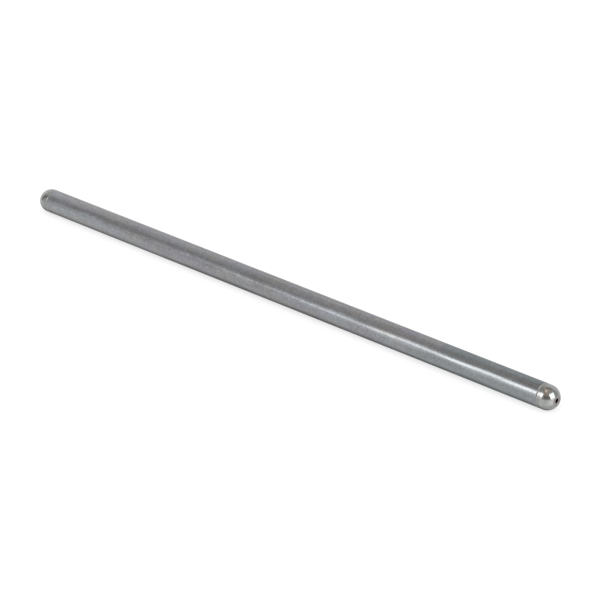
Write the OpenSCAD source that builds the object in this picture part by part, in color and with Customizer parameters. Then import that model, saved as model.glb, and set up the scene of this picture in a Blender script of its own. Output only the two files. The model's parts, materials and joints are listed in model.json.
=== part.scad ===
// Engine pushrod: a ground steel tube with a drilled ball end pressed into each end.
// The rod lies along X, with its centre at the origin and the rocker end at +X.

/* [Tube] */
// Overall length, from one tip flat to the other
overall_l = 221; // [120:0.5:320]
// Outside diameter of the tube
tube_d = 7.94; // [6.35:0.01:11.1]
// Wall thickness of the tube
tube_wall = 1.65; // [1.2:0.01:2.4]
// Bevel on the outer edge of each end face
tube_edge = 0.15; // [0.05:0.01:0.3]

/* [Seats in the tube] */
// Depth of metal that the reamer takes off the bore to make a seat
seat_cut = 0.08; // [0.02:0.01:0.15]
// Room left in the seat past the end of the shank
seat_room = 1.2; // [0.5:0.1:3]
// Bevel at the mouth of a seat
seat_mouth = 0.3; // [0.1:0.05:0.5]

/* [Ball ends] */
// Diameter of the ball
ball_d = 7.94; // [6.35:0.01:11.1]
// Diameter of the flat faced on the tip of the ball
tip_flat_d = 3.5; // [2.6:0.1:5]
// Length of the straight land between the shoulder and the ball
land_l = 1.5; // [0.5:0.1:4]
// Bevel on the outer edge of the shoulder
shoulder_edge = 0.15; // [0.05:0.01:0.3]
// Length of the shank that is pressed into the tube
shank_l = 9; // [5:0.5:16]
// Bevel that leads the shank into its seat
shank_lead = 0.5; // [0.2:0.05:0.6]
// Radial clearance between the shank and its seat, nothing for a press fit
press_clearance = 0; // [0:0.005:0.02]

/* [Oil way] */
// Diameter of the oil hole drilled through each ball end
oil_hole_d = 1.4; // [0.8:0.1:2]
// Bevel at both mouths of the oil hole
oil_hole_edge = 0.12; // [0.05:0.01:0.2]

/* [Hidden] */
$fn = 96;
tube_colour = [0.58, 0.59, 0.6];
ball_end_colour = [0.72, 0.71, 0.7];

// Radii, which the turned profiles are drawn with
tube_r = tube_d / 2;
bore_r = tube_r - tube_wall;
seat_r = bore_r + seat_cut;
shank_r = seat_r - press_clearance;
ball_r = ball_d / 2;
tip_flat_r = tip_flat_d / 2;
oil_r = oil_hole_d / 2;

// Heights along the axis: of the tip flat over the ball's centre, then of both over the shoulder
flat_h = sqrt(ball_r * ball_r - tip_flat_r * tip_flat_r);
ball_h = land_l;
tip_h = ball_h + flat_h;

// The shoulders seat on the tube's end faces, so the ball ends' heads set the tube's length
half_tube_l = overall_l / 2 - tip_h;
seat_l = shank_l + seat_room;

// Section of the tube's wall at the rocker end, from the outside to the bore
end_section = [
  [tube_r, half_tube_l - tube_edge],
  [tube_r - tube_edge, half_tube_l],
  [seat_r + seat_mouth, half_tube_l],
  [seat_r, half_tube_l - seat_mouth],
  [seat_r, half_tube_l - seat_l],
  [bore_r, half_tube_l - seat_l - seat_cut],
];

// The same points at the other end of the rod, in the order that closes the section
function other_end(points) = [for (i = [len(points) - 1 : -1 : 0]) [points[i].x, -points[i].y]];

// Shank and land of a ball end, turned about Y, with the shoulder at zero
module shank_and_land() {
  polygon([
    [0, -shank_l],
    [shank_r - shank_lead, -shank_l],
    [shank_r, -shank_l + shank_lead],
    [shank_r, 0],
    [tube_r - shoulder_edge, 0],
    [tube_r, shoulder_edge],
    [tube_r, ball_h],
    [0, ball_h],
  ]);
}

// Ball above its own centre, cut off at the tip flat
module ball() {
  translate([0, ball_h]) intersection() {
    circle(r = ball_r);
    square([ball_r, flat_h]);
  }
}

// Oil hole from the shank's end to the tip flat, with a bevel at each mouth
module oil_hole() {
  polygon([
    [0, -shank_l],
    [oil_r + oil_hole_edge, -shank_l],
    [oil_r, -shank_l + oil_hole_edge],
    [oil_r, tip_h - oil_hole_edge],
    [oil_r + oil_hole_edge, tip_h],
    [0, tip_h],
  ]);
}

// One ball end standing on its shoulder, with the ball up
module ball_end() {
  rotate_extrude() difference() {
    union() {
      shank_and_land();
      ball();
    }
    oil_hole();
  }
}

module tube() {
  color(tube_colour) rotate([0, 90, 0]) rotate_extrude() polygon(concat(end_section, other_end(end_section)));
}

module rocker_ball_end() {
  color(ball_end_colour) translate([half_tube_l, 0, 0]) rotate([0, 90, 0]) ball_end();
}

module lifter_ball_end() {
  color(ball_end_colour) translate([-half_tube_l, 0, 0]) rotate([0, -90, 0]) ball_end();
}

tube();
rocker_ball_end();
lifter_ball_end();
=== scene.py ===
"""Looks of an engine pushrod: a ground steel tube with a polished, drilled ball end in each end."""

import json
import logging
import math
from dataclasses import dataclass
from enum import Enum
from typing import TypeVar

import bpy
from mathutils import Matrix, Vector


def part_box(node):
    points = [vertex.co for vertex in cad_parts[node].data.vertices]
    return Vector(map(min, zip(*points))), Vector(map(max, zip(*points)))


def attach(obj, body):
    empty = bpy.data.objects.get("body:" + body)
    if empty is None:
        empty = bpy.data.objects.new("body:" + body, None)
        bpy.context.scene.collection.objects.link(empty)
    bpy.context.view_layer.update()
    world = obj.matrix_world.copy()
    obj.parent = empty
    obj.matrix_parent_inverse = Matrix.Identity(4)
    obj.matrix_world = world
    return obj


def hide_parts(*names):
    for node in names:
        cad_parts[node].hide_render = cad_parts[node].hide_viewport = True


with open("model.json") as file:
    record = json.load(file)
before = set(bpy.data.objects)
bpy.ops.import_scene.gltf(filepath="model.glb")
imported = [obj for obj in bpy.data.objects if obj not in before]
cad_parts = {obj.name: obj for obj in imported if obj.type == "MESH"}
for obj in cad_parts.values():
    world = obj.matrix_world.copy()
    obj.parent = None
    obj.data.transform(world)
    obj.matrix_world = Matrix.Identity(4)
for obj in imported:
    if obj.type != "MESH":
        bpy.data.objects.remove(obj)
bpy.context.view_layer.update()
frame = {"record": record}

LOG = logging.getLogger("pushrod")
MM = 0.001
BODY = "root"
BAKE_MAP = "OFBake"

Item = TypeVar("Item")


class RodEnd(Enum):
    """The two ends of the rod, by the way each one points along X."""

    ROCKER = 1
    LIFTER = -1

    @property
    def node(self) -> str:
        """Name of the CAD node of this end's ball end."""
        return f"{self.name.lower()}_ball_end"


@dataclass(frozen=True)
class RodSizes:
    """Sizes of the rod in metres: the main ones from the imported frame, the hidden ones by name.

    Attributes:
        tube_r: Outside radius of the tube and of the lands flush with it.
        tube_end: Distance from the rod's middle to a shoulder, where tube and ball end meet.
        ball_r: Radius of a ball.
        ball_centre: Distance from the rod's middle to a ball's centre.
        tip: Distance from the rod's middle to a tip flat.
        shank_end: Distance from the rod's middle to the inner end of a shank.
        oil_r: Radius of the oil holes.
        wall: Wall of the tube.
        seat_cut: Metal reamed off the bore for a shank's seat.
        seat_room: Room in the seat past the shank.
        seat_mouth: Bevel at a seat's mouth.
        seam_edge: Bevel on both sides of the parting line between tube and ball end.
        shank_lead: Bevel at a shank's inner end.
        oil_edge: Bevel at the mouths of the oil holes.
    """

    tube_r: float
    tube_end: float
    ball_r: float
    ball_centre: float
    tip: float
    shank_end: float
    oil_r: float
    wall: float = 1.65 * MM
    seat_cut: float = 0.08 * MM
    seat_room: float = 1.2 * MM
    seat_mouth: float = 0.3 * MM
    seam_edge: float = 0.15 * MM
    shank_lead: float = 0.5 * MM
    oil_edge: float = 0.12 * MM

    @classmethod
    def from_frame(cls) -> "RodSizes":
        """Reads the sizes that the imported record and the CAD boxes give.

        Returns:
            The sizes of this rod.
        """
        mounts = {mount["name"]: mount for mount in frame["record"]["mounts"]}
        low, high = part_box(RodEnd.ROCKER.node)
        return cls(
            tube_r=mounts["guide_shank"]["dims"]["r_mm"] * MM,
            tube_end=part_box("tube")[1][0],
            ball_r=mounts["rocker_ball"]["dims"]["r_mm"] * MM,
            ball_centre=mounts["rocker_ball"]["pos_m"][0],
            tip=high[0],
            shank_end=low[0],
            oil_r=mounts["rocker_oil_hole"]["dims"]["r_mm"] * MM,
        )

    @property
    def bore_r(self) -> float:
        """Radius of the tube's bore."""
        return self.tube_r - self.wall

    @property
    def seat_r(self) -> float:
        """Radius of the seats, and of the shanks pressed into them."""
        return self.bore_r + self.seat_cut

    def hidden(self, point: Vector) -> bool:
        """Whether a point of a section is out of sight, inside the tube or in an oil hole."""
        in_tube = abs(point.x) < self.tube_end and point.y < self.seat_r + self.seat_mouth
        return in_tube or point.y < self.oil_r + self.oil_edge / 2


@dataclass(frozen=True)
class Corner:
    """One point of a turned outline.

    Attributes:
        x: Place along the axis.
        r: Distance from the axis.
        blend: Radius of the arc that rounds the corner off, nothing for a point that stays.
    """

    x: float
    r: float
    blend: float = 0.0

    def at(self) -> Vector:
        """The corner as a point of the outline's plane."""
        return Vector((self.x, self.r))


def pairs(ring: list[Item]) -> list[tuple[Item, Item]]:
    """Each item of a closed ring with the one after it."""
    return list(zip(ring, ring[1:] + ring[:1]))


def triples(ring: list[Item]) -> list[tuple[Item, Item, Item]]:
    """Each item of a closed ring between the ones before and after it."""
    return list(zip(ring[-1:] + ring[:-1], ring, ring[1:] + ring[:1]))


def arc(centre: Vector, radius: float, start: float, stop: float, steps: int) -> list[Corner]:
    """Points along an arc of an outline in equal steps, between two angles from the axis in radians."""
    angles = [start + (stop - start) * step / steps for step in range(steps + 1)]
    return [Corner(centre.x + radius * math.cos(a), centre.y + radius * math.sin(a)) for a in angles]


def rounded(corners: list[Corner], steps: int = 5) -> list[Vector]:
    """Rounds off the corners of a closed outline.

    Args:
        corners: The outline's corners in order.
        steps: Number of steps in the arc at each corner that has a blend.

    Returns:
        The points of the rounded outline.
    """
    points: list[Vector] = []
    for before, corner, after in triples(corners):
        here = corner.at()
        if not corner.blend:
            points.append(here)
            continue
        back = (before.at() - here).normalized()
        ahead = (after.at() - here).normalized()
        half = back.angle(ahead) / 2
        centre = here + (back + ahead).normalized() * corner.blend / math.sin(half)
        first = here + back * corner.blend / math.tan(half) - centre
        sweep = first.angle_signed(here + ahead * corner.blend / math.tan(half) - centre)
        points += [centre + Matrix.Rotation(-sweep * step / steps, 2) @ first for step in range(steps + 1)]
    return points


@dataclass(frozen=True)
class TurnedPiece:
    """A closed outline turned about the X axis into a mesh.

    Attributes:
        name: Name of the piece.
        outline: Points of the outline in order, along the axis and away from it.
        sizes: Sizes of the rod.
        longest: Longest step between two rings of the mesh.
        sides: Number of faces round the axis.
        hidden_share: Room in baked textures for skin that is out of sight, as a share of its length.
        margin: Free edge on both sides of a strip of baked texture, as a share of its width.
    """

    name: str
    outline: list[Vector]
    sizes: RodSizes
    longest: float = 1.75 * MM
    sides: int = 160
    hidden_share: float = 0.25
    margin: float = 0.02

    def stations(self) -> list[Vector]:
        """The outline's points with long straight stretches divided evenly.

        Returns:
            One point for each ring of the mesh.
        """
        found: list[Vector] = []
        for here, after in pairs(self.outline):
            parts = max(1, math.ceil((after - here).length / self.longest))
            found += [here.lerp(after, part / parts) for part in range(parts)]
        return found

    @staticmethod
    def outward(stations: list[Vector]) -> list[Vector]:
        """Directions square to the outline, where the longer of two stretches that meet counts more.

        Args:
            stations: Points of the closed outline in order.

        Returns:
            A unit direction for each point, away from the metal.
        """
        found: list[Vector] = []
        for before, here, after in triples(stations):
            come = here - before
            go = after - here
            along = come * come.length + go * go.length
            found.append(Vector((-along.y, along.x)).normalized())
        return found

    def layout(self, stations: list[Vector]) -> list[float]:
        """Lays the skin out flat for baked textures, in strips of one length side by side.

        Args:
            stations: Points of the closed outline in order.

        Returns:
            Two numbers for each corner of each face.
        """
        steps: list[float] = []
        for here, after in pairs(stations):
            share = self.hidden_share if self.sizes.hidden(here.lerp(after, 0.5)) else 1.0
            steps.append(share * (after - here).length)
        girth = math.tau * max(station.y for station in stations)
        strips = max(1, round(math.sqrt(sum(steps) / girth)))
        span = sum(steps) / strips
        inner = 1 - 2 * self.margin
        flat: list[float] = []
        gone = 0.0
        for step in steps:
            strip = int((gone + step / 2) / span)
            low = (gone - strip * span + self.longest / 2) / (span + self.longest)
            high = low + step / (span + self.longest)
            places = [self.margin + inner * side / self.sides for side in range(self.sides + 1)]
            edges = [(strip + place) / strips for place in places]
            for left, right in zip(edges, edges[1:]):
                flat += [left, low, right, low, right, high, left, high]
            gone += step
        return flat

    def turned(self, section: list[Vector]) -> list[tuple[float, float, float]]:
        """Turns each point or direction of the section about the axis into a ring of them."""
        turns = [math.tau * side / self.sides for side in range(self.sides)]
        return [(p.x, p.y * math.cos(t), p.y * math.sin(t)) for p in section for t in turns]

    def build(self) -> bpy.types.Object:
        """Turns the outline into a mesh object that rides on the rod's one body.

        Returns:
            The new object.
        """
        stations = self.stations()
        starts = [ring * self.sides for ring in range(len(stations))]
        faces = [
            (ring + side, ring + after, other + after, other + side)
            for ring, other in pairs(starts)
            for side, after in pairs(list(range(self.sides)))
        ]
        mesh = bpy.data.meshes.new(self.name)
        mesh.from_pydata(self.turned(stations), [], faces)
        mesh.uv_layers.new(name=BAKE_MAP).data.foreach_set("uv", self.layout(stations))
        mesh.shade_smooth()
        mesh.normals_split_custom_set_from_vertices(self.turned(self.outward(stations)))
        piece = bpy.data.objects.new(self.name, mesh)
        bpy.context.scene.collection.objects.link(piece)
        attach(piece, BODY)
        return piece


Colour = tuple[float, float, float, float]
Socket = bpy.types.NodeSocket
Amount = float | Socket
Tint = Colour | Socket

# Lighter colour of the bevels at the parting lines: a painted sheen that draws a light line along each seam
SEAM_SHEEN: Colour = (0.4, 0.4, 0.405, 1.0)
# Soft edge of that colour, in millimetres from the bevel's own edge
BEVEL_FADE = (-0.04, 0.04)


def grey(level: float) -> Colour:
    """A colour with its three channels alike."""
    return (level, level, level, 1.0)


def fade(place: float, band: tuple[float, float]) -> tuple[float, float]:
    """Both ends of a soft edge in millimetres, from its place in metres and its band about that place."""
    return place / MM + band[0], place / MM + band[1]


class Bench:
    """A node tree, with short ways to add the nodes that the finishes and the room use."""

    def __init__(self, tree: bpy.types.NodeTree) -> None:
        """Starts on a tree that already has its shader and its output.

        Args:
            tree: The node tree.
        """
        self.nodes = tree.nodes
        self.links = tree.links

    def feed(self, socket: Socket, value: float | tuple | Socket) -> None:
        """Joins an input to another node's output, or gives it a value.

        Args:
            socket: The input.
            value: The value, or the output that it comes from.
        """
        if isinstance(value, bpy.types.NodeSocket):
            self.links.new(value, socket)
        else:
            socket.default_value = value

    def add(self, kind: str, inputs: dict, **settings: str | bool) -> bpy.types.Node:
        """Adds a node.

        Args:
            kind: The node's type.
            inputs: Values or outputs for its inputs, by name or number.
            settings: Values for the node's own properties.

        Returns:
            The new node.
        """
        node = self.nodes.new(kind)
        for key, value in settings.items():
            setattr(node, key, value)
        for key, value in inputs.items():
            self.feed(node.inputs[key], value)
        return node

    def split(self, vector: Socket) -> list[Socket]:
        """The three numbers of a vector."""
        return list(self.add("ShaderNodeSeparateXYZ", {0: vector}).outputs)

    def math(self, operation: str, a: Amount, b: Amount = 0.0) -> Socket:
        """The result of an operation on one or two numbers."""
        return self.add("ShaderNodeMath", {0: a, 1: b}, operation=operation).outputs[0]

    def blend(self, *terms: tuple[Amount, float]) -> Socket:
        """A weighted sum.

        Args:
            terms: Each number with its weight.

        Returns:
            The sum.
        """
        total: Amount = 0.0
        for number, weight in terms:
            inputs = {0: number, 1: weight, 2: total}
            total = self.add("ShaderNodeMath", inputs, operation="MULTIPLY_ADD").outputs[0]
        return total

    def step(self, value: Amount, start: float, stop: float, low: float = 0.0, high: float = 1.0) -> Socket:
        """A smooth step from a low to a high level, while the value goes from start to stop."""
        inputs = {"Value": value, "From Min": start, "From Max": stop, "To Min": low, "To Max": high}
        return self.add("ShaderNodeMapRange", inputs, interpolation_type="SMOOTHSTEP").outputs[0]

    def mix(self, factor: Amount, a: Tint, b: Tint) -> Socket:
        """A colour between two.

        Args:
            factor: Share of the second colour.
            a: First colour.
            b: Second colour.

        Returns:
            The mixed colour.
        """
        node = self.add("ShaderNodeMix", {}, data_type="RGBA")
        for number, value in ((0, factor), (6, a), (7, b)):
            self.feed(node.inputs[number], value)
        return node.outputs[2]


class MetalBench(Bench):
    """The node tree of a metal, with what is measured on a turned piece."""

    def __init__(self, name: str) -> None:
        """Starts a metal.

        Args:
            name: Name of the material.
        """
        self.material = bpy.data.materials.new(name)
        self.material.use_nodes = True
        super().__init__(self.material.node_tree)
        where = self.add("ShaderNodeTexCoord", {}).outputs["Object"]
        self.place = self.scale(where, 1 / MM)
        self.x, self.y, self.z = self.split(self.place)
        self.along = self.math("ABSOLUTE", self.x)
        across = self.add("ShaderNodeCombineXYZ", {1: self.y, 2: self.z}).outputs[0]
        self.radius = self.add("ShaderNodeVectorMath", {0: across}, operation="LENGTH").outputs[1]

    def noise(self, stretch: tuple[float, float, float], detail: float = 2.0) -> Socket:
        """Cloudy noise around one half.

        Args:
            stretch: Spots per millimetre along X, Y and Z.
            detail: Number of finer layers.

        Returns:
            The noise.
        """
        spots = self.add("ShaderNodeVectorMath", {0: self.place, 1: stretch}, operation="MULTIPLY")
        inputs = {"Vector": spots.outputs[0], "Scale": 1.0, "Detail": detail, "Roughness": 0.55}
        return self.add("ShaderNodeTexNoise", inputs).outputs[0]

    def scale(self, vector: Socket, amount: Amount) -> Socket:
        """A vector or a colour times a number."""
        return self.add("ShaderNodeVectorMath", {0: vector, "Scale": amount}, operation="SCALE").outputs[0]

    def finish(
        self, colour: Tint, rim: Colour, roughness: Amount, height: Socket, depth: float
    ) -> bpy.types.Material:
        """Joins colour, roughness and relief to the shader.

        Args:
            colour: Base colour.
            rim: Tint of what the metal mirrors where it turns away from view.
            roughness: Roughness.
            height: Relief, where one is the full depth.
            depth: Depth of the relief in metres.

        Returns:
            The material.
        """
        shader = self.nodes["Principled BSDF"]
        bump = self.add("ShaderNodeBump", {"Height": height, "Distance": depth})
        joined = {
            "Metallic": 1.0,
            "Specular Tint": rim,
            "Base Color": colour,
            "Roughness": roughness,
            "Normal": bump.outputs[0],
        }
        for name, value in joined.items():
            self.feed(shader.inputs[name], value)
        return self.material


@dataclass(frozen=True)
class GroundSteel:
    """Finish of the tube: centreless ground, blued where it was hardened towards the rocker end.

    Attributes:
        bare: Colour of the ground steel.
        blued: Colour of the hardened stretch at the front.
        blued_top_shade: Its colour from the top to the back: painted shade, darker and slightly cooler.
        violet: Colour of the faint oil that lies on it in stains.
        cool: Colour of the steel where light oil lies in long clouds.
        seam_sheen: Lighter colour of the bevels at the parting lines, a painted sheen for the light seam
            line.
        rim: Tint of what the steel mirrors where it turns away from view.
        blued_from: Where the hardened stretch begins, in millimetres from the rod's middle.
        blued_edge: Length over which it sets in, in millimetres.
        blued_lean: How much sooner it begins on the lower half, in millimetres.
        lean_band: Heights over the axis between which that lean fades out, in millimetres.
        top_shade_band: Places across the rod between which the painted shade on the blued colour sets in,
            in millimetres.
        pale_band: Places along the rod between which the paler lifter half fades out, in millimetres.
        dressed_width: Width in millimetres of the band dressed at each end after the ball end went in.
        dressed_edge: Half the width of that band's soft edge, in millimetres.
        mark_pitch: Pitch in millimetres of the turning marks on the dressed bands.
        relief: Height of one unit of relief.
    """

    bare: Colour = (0.267, 0.267, 0.265, 1.0)
    blued: Colour = (0.24, 0.258, 0.265, 1.0)
    blued_top_shade: Colour = (0.185, 0.209, 0.216, 1.0)
    violet: Colour = (0.264, 0.259, 0.286, 1.0)
    cool: Colour = (0.25, 0.266, 0.281, 1.0)
    seam_sheen: Colour = SEAM_SHEEN
    rim: Colour = grey(0.75)
    blued_from: float = 67.3
    blued_edge: float = 2.0
    blued_lean: float = 12.5
    lean_band: tuple[float, float] = (0.6, 1.8)
    top_shade_band: tuple[float, float] = (-2.8, 0.0)
    pale_band: tuple[float, float] = (-100.0, -20.0)
    dressed_width: float = 1.85
    dressed_edge: float = 0.1
    mark_pitch: float = 0.42
    relief: float = 0.002 * MM

    def material(self, sizes: RodSizes) -> bpy.types.Material:
        """Makes the finish.

        Args:
            sizes: Sizes of the rod.

        Returns:
            The material.
        """
        bench = MetalBench("ground_steel")
        # Patterns, with their spots per millimetre
        clouds = bench.noise((0.05, 0.3, 0.3), 3.0)
        blotches = bench.noise((0.4, 0.5, 0.5), 2.0)
        stains = bench.noise((0.12, 0.3, 0.3), 3.0)
        grain = bench.noise((1.6, 1.6, 1.6), 2.0)
        rings = bench.noise((8.0, 0.15, 0.15), 2.0)
        swell = bench.noise((0.035, 0.22, 0.22), 1.0)
        # Stretches that were blued, dressed or bevelled
        lean = bench.step(bench.z, *self.lean_band, self.blued_lean, 0.0)
        heat = bench.blend((bench.x, 1.0), (blotches, 2.0), (lean, 1.0))
        blue = bench.step(heat, self.blued_from, self.blued_from + self.blued_edge)
        inset = bench.math("SUBTRACT", sizes.tube_end / MM, bench.along)
        dressed_from = self.dressed_width - self.dressed_edge
        dressed_to = self.dressed_width + self.dressed_edge
        dressed = bench.step(inset, dressed_from, dressed_to, 1.0, 0.0)
        bevel = bench.step(inset, *fade(sizes.seam_edge, BEVEL_FADE), 1.0, 0.0)
        # Colour: oil stains, clouds and blueing, with painted shade on the blued top, then the grain's
        # light and dark
        colour = bench.mix(bench.step(stains, 0.4, 0.62), self.bare, self.violet)
        colour = bench.mix(bench.step(clouds, 0.46, 0.62, 0.0, 0.7), colour, self.cool)
        # Painted shade: the blued colour darkens from the front to the top and back
        blued_shaded = bench.mix(bench.step(bench.y, *self.top_shade_band), self.blued, self.blued_top_shade)
        depth = bench.math("MULTIPLY", blue, bench.step(stains, 0.4, 0.65, 1.0, 0.65))
        colour = bench.mix(depth, colour, blued_shaded)
        paler = bench.step(bench.x, *self.pale_band, 0.1, 0.0)
        fine = bench.step(blue, 0.0, 1.0, 1.0, 0.85)
        coarse = bench.math("MULTIPLY", bench.blend((grain, 1.0), (1.0, -0.5)), fine)
        patchy = bench.blend((blotches, 0.35), (clouds, 0.35), (rings, 0.15), (1.0, 0.575))
        level = bench.blend((coarse, 0.66), (patchy, 1.0), (paler, 1.0))
        # Painted sheen: the bevels at the parting lines take a lighter colour, for a light line along each
        # seam
        colour = bench.mix(bevel, bench.scale(colour, level), self.seam_sheen)
        # Roughness: satin that wavers most where it is blued
        wavy = bench.math("MULTIPLY", blue, bench.step(clouds, 0.3, 0.7, -0.07, 0.07))
        satin = bench.blend((blotches, 0.05), (clouds, 0.14), (wavy, 1.0), (1.0, 0.12))
        rough = bench.blend((satin, 1.0), (coarse, 0.03), (blue, -0.02), (dressed, 0.02), (bevel, 0.45))
        # Relief: grain, grinding rings, a long swell and turning marks
        marks = bench.math("SINE", bench.math("MULTIPLY", inset, math.tau / self.mark_pitch))
        turned = bench.math("MULTIPLY", marks, dressed)
        height = bench.blend((coarse, 0.5), (rings, 0.25), (swell, 200.0), (turned, 0.8))
        return bench.finish(colour, self.rim, rough, height, self.relief)


@dataclass(frozen=True)
class PolishedSteel:
    """Finish of the ball ends: hardened, mirror polished, with a faced tip and painted shade in the oil
    hole.

    Attributes:
        bare: Colour of the polished steel.
        faced: Colour of the faced tip.
        seam_sheen: Lighter colour of the bevel at the parting line, a painted sheen for the light seam
            line.
        hole_shade: Painted shade inside the oil hole.
        satin: Roughness that the land has over the ball's, at the lifter and at the rocker end.
        rim: Tint of what the steel mirrors where it turns away from view.
        pitch: Pitch of the marks on the faced tip in millimetres.
        tip_fade: Soft edge of the faced tip, in millimetres from its plane.
        hole_fade: Soft edge of the painted shade round the oil hole, in millimetres from its wall.
        land_fade: Soft edge of the land, in millimetres from the ball's centre.
        relief: Height of one unit of relief.
    """

    bare: Colour = (0.34, 0.35, 0.341, 1.0)
    faced: Colour = (0.272, 0.253, 0.246, 1.0)
    seam_sheen: Colour = SEAM_SHEEN
    hole_shade: Colour = (0.05, 0.046, 0.043, 1.0)
    satin: tuple[float, float] = (0.02, 0.13)
    rim: Colour = grey(0.85)
    pitch: float = 0.14
    tip_fade: tuple[float, float] = (-0.02, -0.005)
    hole_fade: tuple[float, float] = (0.02, 0.14)
    land_fade: tuple[float, float] = (-0.5, 0.3)
    relief: float = 0.001 * MM

    def material(self, sizes: RodSizes) -> bpy.types.Material:
        """Makes the finish.

        Args:
            sizes: Sizes of the rod.

        Returns:
            The material.
        """
        bench = MetalBench("polished_steel")
        # Where the faced tip, the oil hole, the bevel and the land are
        tip = bench.step(bench.along, *fade(sizes.tip, self.tip_fade))
        hole = bench.step(bench.radius, *fade(sizes.oil_r, self.hole_fade), 1.0, 0.0)
        seam = bench.step(bench.along, *fade(sizes.tube_end + sizes.seam_edge, BEVEL_FADE), 1.0, 0.0)
        land = bench.step(bench.along, *fade(sizes.ball_centre, self.land_fade), 1.0, 0.0)
        # Patterns, with their spots per millimetre
        rings = bench.noise((14.0, 0.3, 0.3), 2.0)
        bands = bench.noise((1.3, 0.12, 0.12), 2.0)
        smears = bench.noise((0.5, 0.5, 0.5), 3.0)
        turned = bench.math("SINE", bench.math("MULTIPLY", bench.radius, math.tau / self.pitch))
        # Colour, roughness and relief
        hazy = bench.step(smears, 0.3, 0.7, -0.06, 0.06)
        cloudy = bench.blend((hazy, 1.0), (bands, 0.25), (1.0, 0.875))
        level = bench.blend((cloudy, 1.0), (land, -0.19))
        colour = bench.scale(bench.mix(tip, self.bare, self.faced), level)
        # Painted shade: the oil hole and its mouth are coloured near black
        # Painted sheen: the bevel at the parting line takes a lighter colour
        colour = bench.mix(hole, bench.mix(seam, colour, self.seam_sheen), self.hole_shade)
        polish = bench.blend((smears, 0.06), (1.0, 0.05))
        satin = bench.math("MULTIPLY", land, bench.step(bench.x, -1.0, 1.0, *self.satin))
        rough = bench.blend((polish, 1.0), (satin, 1.0), (tip, 0.14), (hole, 0.4), (seam, 0.5))
        height = bench.blend((rings, 0.3), (bench.math("MULTIPLY", turned, tip), 1.0))
        return bench.finish(colour, self.rim, rough, height, self.relief)


@dataclass(frozen=True)
class Tube:
    """The ground tube between the ball ends.

    Attributes:
        sizes: Sizes of the rod.
        finish: Finish of the tube.
        edge: Radius that takes the sharpness off its edges.
    """

    sizes: RodSizes
    finish: GroundSteel
    edge: float = 0.04 * MM

    def outline(self) -> list[Vector]:
        """The wall's section: the rocker end from outside to bore, then the lifter end back out.

        Returns:
            The points of the closed outline.
        """
        size = self.sizes
        seat_end = size.shank_end - size.seat_room
        rocker = [
            Corner(size.tube_end - size.seam_edge, size.tube_r, self.edge),
            Corner(size.tube_end, size.tube_r - size.seam_edge, self.edge),
            Corner(size.tube_end, size.seat_r + size.seat_mouth, self.edge),
            Corner(size.tube_end - size.seat_mouth, size.seat_r, self.edge),
            Corner(seat_end, size.seat_r),
            Corner(seat_end - size.seat_cut, size.bore_r),
        ]
        lifter = [Corner(-corner.x, corner.r, corner.blend) for corner in reversed(rocker)]
        return rounded(rocker + lifter)

    def build(self) -> bpy.types.Object:
        """Builds the tube in place of its CAD node.

        Returns:
            The finished piece.
        """
        piece = TurnedPiece("ground_tube", self.outline(), self.sizes).build()
        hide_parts("tube")
        self.dress(piece)
        return piece

    def dress(self, piece: bpy.types.Object) -> None:
        """Gives the tube its finish."""
        piece.data.materials.append(self.finish.material(self.sizes))


@dataclass(frozen=True)
class BallEnd:
    """A ball end: polished ball and land, and the shank inside the tube.

    Attributes:
        sizes: Sizes of the rod.
        finish: Material of the ball ends.
        end: Which end of the rod it is on.
        edge: Radius that takes the sharpness off its edges.
        shoulder: Radius of the land's edge at the parting line.
        ball_steps: Number of steps in the ball's arc.
        edge_steps: Number of steps in the rounded edge of the tip flat.
    """

    sizes: RodSizes
    finish: bpy.types.Material
    end: RodEnd
    edge: float = 0.04 * MM
    shoulder: float = 0.4 * MM
    ball_steps: int = 48
    edge_steps: int = 4

    def ball(self) -> list[Corner]:
        """The ball's arc from the tip flat to the land, with the flat's edge polished round.

        Returns:
            The points of the arc.
        """
        size = self.sizes
        flat = size.tip - size.ball_centre
        blend = 2 * self.edge
        blend_x = flat - blend
        blend_r = math.sqrt((size.ball_r - blend) ** 2 - blend_x**2)
        meet = math.atan2(blend_r, blend_x)
        edge = arc(Vector((size.ball_centre + blend_x, blend_r)), blend, 0.0, meet, self.edge_steps)
        sphere = arc(Vector((size.ball_centre, 0.0)), size.ball_r, meet, math.pi / 2, self.ball_steps)
        return edge + sphere[1:]

    def outline(self) -> list[Vector]:
        """The section from the oil hole over the ball, land and shank, and back along the hole.

        Returns:
            The points of the closed outline, for the rocker end.
        """
        size = self.sizes
        tip = [
            Corner(size.tip - size.oil_edge, size.oil_r, self.edge),
            Corner(size.tip, size.oil_r + size.oil_edge, self.edge),
        ]
        shank = [
            Corner(size.tube_end + size.seam_edge, size.tube_r, self.shoulder),
            Corner(size.tube_end, size.tube_r - size.seam_edge, self.edge),
            Corner(size.tube_end, size.seat_r),
            Corner(size.shank_end + size.shank_lead, size.seat_r, self.edge),
            Corner(size.shank_end, size.seat_r - size.shank_lead, self.edge),
            Corner(size.shank_end, size.oil_r + size.oil_edge, self.edge),
            Corner(size.shank_end + size.oil_edge, size.oil_r, self.edge),
        ]
        return rounded(list(reversed(tip + self.ball() + shank)))

    def build(self) -> bpy.types.Object:
        """Builds the ball end in place of its CAD node.

        Returns:
            The finished piece.
        """
        outline = self.outline()
        if self.end is RodEnd.LIFTER:
            outline = [Vector((-point.x, point.y)) for point in reversed(outline)]
        piece = TurnedPiece(f"polished_{self.end.node}", outline, self.sizes).build()
        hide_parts(self.end.node)
        self.dress(piece)
        return piece

    def dress(self, piece: bpy.types.Object) -> None:
        """Gives the ball end its finish."""
        piece.data.materials.append(self.finish)


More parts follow.
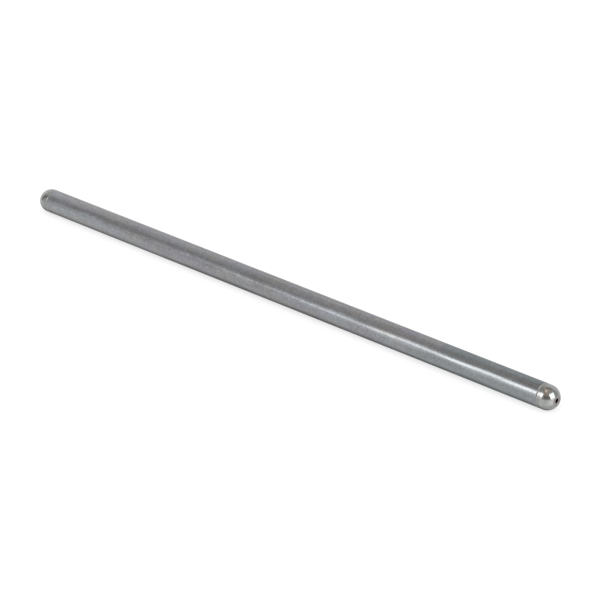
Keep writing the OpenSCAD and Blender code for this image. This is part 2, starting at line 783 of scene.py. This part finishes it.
def towards(turn: float, rise: float) -> Vector:
    """A direction in the room.

    Args:
        turn: Angle from X towards Y in degrees.
        rise: Angle over the floor in degrees.

    Returns:
        The unit vector that points there.
    """
    flat = math.cos(math.radians(rise))
    x = math.cos(math.radians(turn)) * flat
    y = math.sin(math.radians(turn)) * flat
    return Vector((x, y, math.sin(math.radians(rise))))


@dataclass(frozen=True)
class Softbox:
    """A soft lamp that faces the rod.

    Attributes:
        name: Name of the lamp.
        turn: Direction it stands in, in degrees from X towards Y.
        rise: Its height over the floor as an angle in degrees.
        away: Its distance in metres.
        size: Width and height in metres.
        glow: Brightness of its face, where a lit white sheet is about one.
    """

    name: str
    turn: float
    rise: float
    away: float
    size: tuple[float, float]
    glow: float

    def build(self, aim: Vector) -> bpy.types.Object:
        """Puts the lamp up.

        Args:
            aim: Point that it faces.

        Returns:
            The lamp.
        """
        lamp = bpy.data.lights.new(self.name, "AREA")
        lamp.shape = "RECTANGLE"
        lamp.size, lamp.size_y = self.size
        lamp.energy = self.glow * math.pi * self.size[0] * self.size[1]
        back = towards(self.turn, self.rise)
        stand = bpy.data.objects.new(self.name, lamp)
        stand.location = aim + back * self.away
        stand.rotation_euler = back.to_track_quat("Z", "Y").to_euler()
        bpy.context.scene.collection.objects.link(stand)
        return stand


@dataclass(frozen=True)
class SoftSun:
    """Even light from a wide patch of sky, which lights the floor alike out to its edges.

    Attributes:
        name: Name of the lamp.
        turn: Direction of its middle, in degrees from X towards Y.
        rise: Height of its middle as an angle in degrees.
        spread: Width of the patch of sky in degrees.
        strength: Light on a sheet that faces it, in watts per square metre.
    """

    name: str
    turn: float
    rise: float
    spread: float
    strength: float

    def build(self) -> bpy.types.Object:
        """Puts the lamp up, unseen in polished metal.

        Returns:
            The lamp.
        """
        lamp = bpy.data.lights.new(self.name, "SUN")
        lamp.energy = self.strength
        lamp.angle = math.radians(self.spread)
        stand = bpy.data.objects.new(self.name, lamp)
        stand.rotation_euler = towards(self.turn, self.rise).to_track_quat("Z", "Y").to_euler()
        stand.visible_glossy = False
        bpy.context.scene.collection.objects.link(stand)
        return stand


@dataclass(frozen=True)
class Patch:
    """A soft-edged patch of the surroundings, as the polished metal mirrors it.

    Attributes:
        name: What stands there.
        turn: Direction of its middle, in degrees from X towards Y.
        rise: Height of its middle as an angle in degrees.
        width: Its width in degrees.
        height: Its height in degrees.
        soft: Width of its soft edge in degrees.
        colour: Its colour and brightness.
    """

    name: str
    turn: float
    rise: float
    width: float
    height: float
    soft: float
    colour: Colour

    def over(self, bench: Bench, turn: Socket, rise: Socket, below: Tint) -> Socket:
        """Lays the patch over what is there.

        Args:
            bench: Node tree of the surroundings.
            turn: Direction looked in, in radians.
            rise: Height looked at, in radians.
            below: Colour that the patch is laid over.

        Returns:
            The new colour.
        """
        across = bench.math("SUBTRACT", turn, math.radians(self.turn))
        half_turn = {0: across, 1: math.pi, 2: -math.pi}
        across = bench.add("ShaderNodeMath", half_turn, operation="WRAP").outputs[0]
        up = bench.math("SUBTRACT", rise, math.radians(self.rise))
        share: Amount = 1.0
        for angle, size in ((across, self.width), (up, self.height)):
            inner = math.radians((size - self.soft) / 2)
            outer = math.radians((size + self.soft) / 2)
            inside = bench.step(bench.math("ABSOLUTE", angle), inner, outer, 1.0, 0.0)
            share = bench.math("MULTIPLY", share, inside)
        return bench.mix(share, below, self.colour)


@dataclass(frozen=True)
class Studio:
    """Floor, lamps, surroundings and camera.

    Attributes:
        sizes: Sizes of the rod.
        turn: Direction of the camera, in degrees from X towards Y.
        rise: Height of the camera as an angle, in degrees.
        away: Distance of the camera in metres.
        aim: Point in the middle of the picture.
        lens: Focal length of the camera in millimetres.
        sensor: Width of its sensor in millimetres.
        floor_size: Width of the floor in metres.
        floor_paint: Colour of the floor.
        floor_glow: Light that comes up through the floor, as in a light tent.
        room: Colour of the room where no patch lies.
        patches: What else the metal mirrors, in the order that it is laid over the room.
        key: Lamp at the camera's left, which makes the long highlight.
        side: Lamp past the rocker end.
        sky: Even light on the floor.
    """

    sizes: RodSizes
    turn: float = -47.84
    rise: float = 25.98
    away: float = 0.87946
    aim: tuple[float, float, float] = (8.003 * MM, 0.0, -0.33 * MM)
    lens: float = 165.9
    sensor: float = 36.0
    floor_size: float = 6.0
    floor_paint: Colour = grey(0.26)
    floor_glow: Colour = (0.713, 0.72, 0.726, 1.0)
    room: Colour = grey(0.67)
    patches: tuple[Patch, ...] = (
        Patch("back_sweep", 162.0, 12.0, 112.0, 72.0, 26.0, grey(1.11)),
        Patch("right_sweep", 94.0, 18.0, 84.0, 56.0, 24.0, (1.0, 1.0, 1.02, 1.0)),
        Patch("right_gap", 54.0, 30.0, 31.0, 50.0, 16.0, (0.61, 0.61, 0.58, 1.0)),
        Patch("left_gap", -153.5, 23.5, 28.0, 53.0, 6.0, grey(0.57)),
        Patch("left_bar", -147.5, 15.0, 12.0, 40.0, 4.0, grey(0.25)),
        Patch("left_room", -128.5, 25.0, 16.0, 50.0, 4.0, grey(0.8)),
        Patch("front_wall", -80.0, 46.0, 90.0, 40.0, 14.0, (0.665, 0.527, 0.465, 1.0)),
        Patch("key_haze", -124.0, 46.0, 40.0, 10.0, 10.0, (0.95, 0.92, 0.9, 1.0)),
        Patch("camera_side", -58.0, 21.0, 66.0, 28.0, 8.0, (0.335, 0.315, 0.31, 1.0)),
        Patch("table_rim", -75.0, 4.0, 110.0, 12.0, 6.0, (0.61, 0.61, 0.6, 1.0)),
        Patch("key_foot", -116.0, 3.0, 21.0, 16.0, 6.0, grey(1.75)),
        Patch("side_foot", -4.0, 8.0, 40.0, 20.0, 8.0, grey(2.1)),
        Patch("ceiling", 0.0, 90.0, 720.0, 62.0, 16.0, (0.78, 0.655, 0.585, 1.0)),
        Patch("ceiling_back", 105.0, 67.0, 110.0, 18.0, 8.0, (0.46, 0.44, 0.42, 1.0)),
        Patch("ceiling_left", -152.0, 62.0, 36.0, 12.0, 8.0, (0.44, 0.41, 0.38, 1.0)),
        Patch("ceiling_lamp", -115.0, 79.0, 100.0, 18.0, 10.0, (1.6, 1.3, 1.08, 1.0)),
        # The floor as the metal mirrors it: even, with a painted pool of light from the side lamp and
        # painted shade of the rod's own shadow below and behind it
        Patch("floor", 0.0, -90.0, 720.0, 180.0, 2.0, grey(1.05)),
        Patch("lit_floor_by_side_box", -18.0, -24.0, 44.0, 40.0, 30.0, grey(1.55)),
        Patch("shade_under_rod", 0.0, -90.0, 720.0, 60.0, 40.0, grey(0.8)),
        Patch("own_shade", 147.0, -58.0, 90.0, 50.0, 40.0, grey(0.39)),
    )
    key: Softbox = Softbox("key_box", -118.0, 28.5, 1.2, (0.55, 0.6), 2.85)
    side: Softbox = Softbox("side_box", -3.0, 33.5, 1.2, (1.0, 0.83), 2.35)
    sky: SoftSun = SoftSun("front_sky", -60.0, 62.0, 50.0, 1.2)

    def camera(self) -> None:
        """Sets the camera up at the photograph's viewing angle."""
        back = towards(self.turn, self.rise)
        lens = bpy.data.cameras.new("camera")
        lens.lens = self.lens
        lens.sensor_width = self.sensor
        stand = bpy.data.objects.new("camera", lens)
        stand.location = Vector(self.aim) + back * self.away
        stand.rotation_euler = back.to_track_quat("Z", "Y").to_euler()
        bpy.context.scene.collection.objects.link(stand)
        bpy.context.scene.camera = stand

    def floor(self) -> None:
        """Lays the pale floor that the rod lies on, which the metal mirrors as a patch instead."""
        half = self.floor_size / 2
        low = -self.sizes.tube_r
        mesh = bpy.data.meshes.new("floor")
        corners = [(-half, -half, low), (half, -half, low), (half, half, low), (-half, half, low)]
        mesh.from_pydata(corners, [], [(0, 1, 2, 3)])
        paint = bpy.data.materials.new("floor_paint")
        paint.use_nodes = True
        shader = paint.node_tree.nodes["Principled BSDF"]
        look = {
            "Base Color": self.floor_paint,
            "Emission Color": self.floor_glow,
            "Emission Strength": 1.0,
            "Roughness": 0.9,
            "Specular IOR Level": 0.0,
        }
        for name, value in look.items():
            shader.inputs[name].default_value = value
        mesh.materials.append(paint)
        floor = bpy.data.objects.new("floor", mesh)
        floor.visible_glossy = False
        bpy.context.scene.collection.objects.link(floor)

    def surroundings(self) -> None:
        """Sets up what the metal mirrors: a dim room with a pale sweep behind the rod, and a floor with a
        painted pool of light and painted shade of the rod.
        """
        world = bpy.data.worlds.new("room")
        bpy.context.scene.world = world
        world.use_nodes = True
        bench = Bench(world.node_tree)
        x, y, z = bench.split(bench.add("ShaderNodeTexCoord", {}).outputs["Generated"])
        turn = bench.math("ARCTAN2", y, x)
        rise = bench.math("ARCSINE", z)
        tint: Tint = self.room
        for patch in self.patches:
            tint = patch.over(bench, turn, rise, tint)
        bench.feed(world.node_tree.nodes["Background"].inputs["Color"], tint)

    def lamps(self) -> None:
        """Puts the lamps up."""
        near = Vector((self.sizes.ball_centre, 0.0, 0.0))
        self.key.build(near)
        self.side.build(near)
        self.sky.build()

    def build(self) -> None:
        """Sets everything up."""
        self.camera()
        self.floor()
        self.surroundings()
        self.lamps()
        bpy.context.scene.view_settings.view_transform = "Standard"


def main() -> None:
    """Builds the rod and the studio and reports each piece."""
    logging.basicConfig(level=logging.INFO, format="%(name)s: %(message)s")
    sizes = RodSizes.from_frame()
    polish = PolishedSteel().material(sizes)
    pieces = [Tube(sizes, GroundSteel()).build()]
    pieces += [BallEnd(sizes, polish, end).build() for end in RodEnd]
    for piece in pieces:
        LOG.info("%s: %d faces", piece.name, len(piece.data.polygons))
    Studio(sizes).build()


if __name__ == "__main__":
    main()
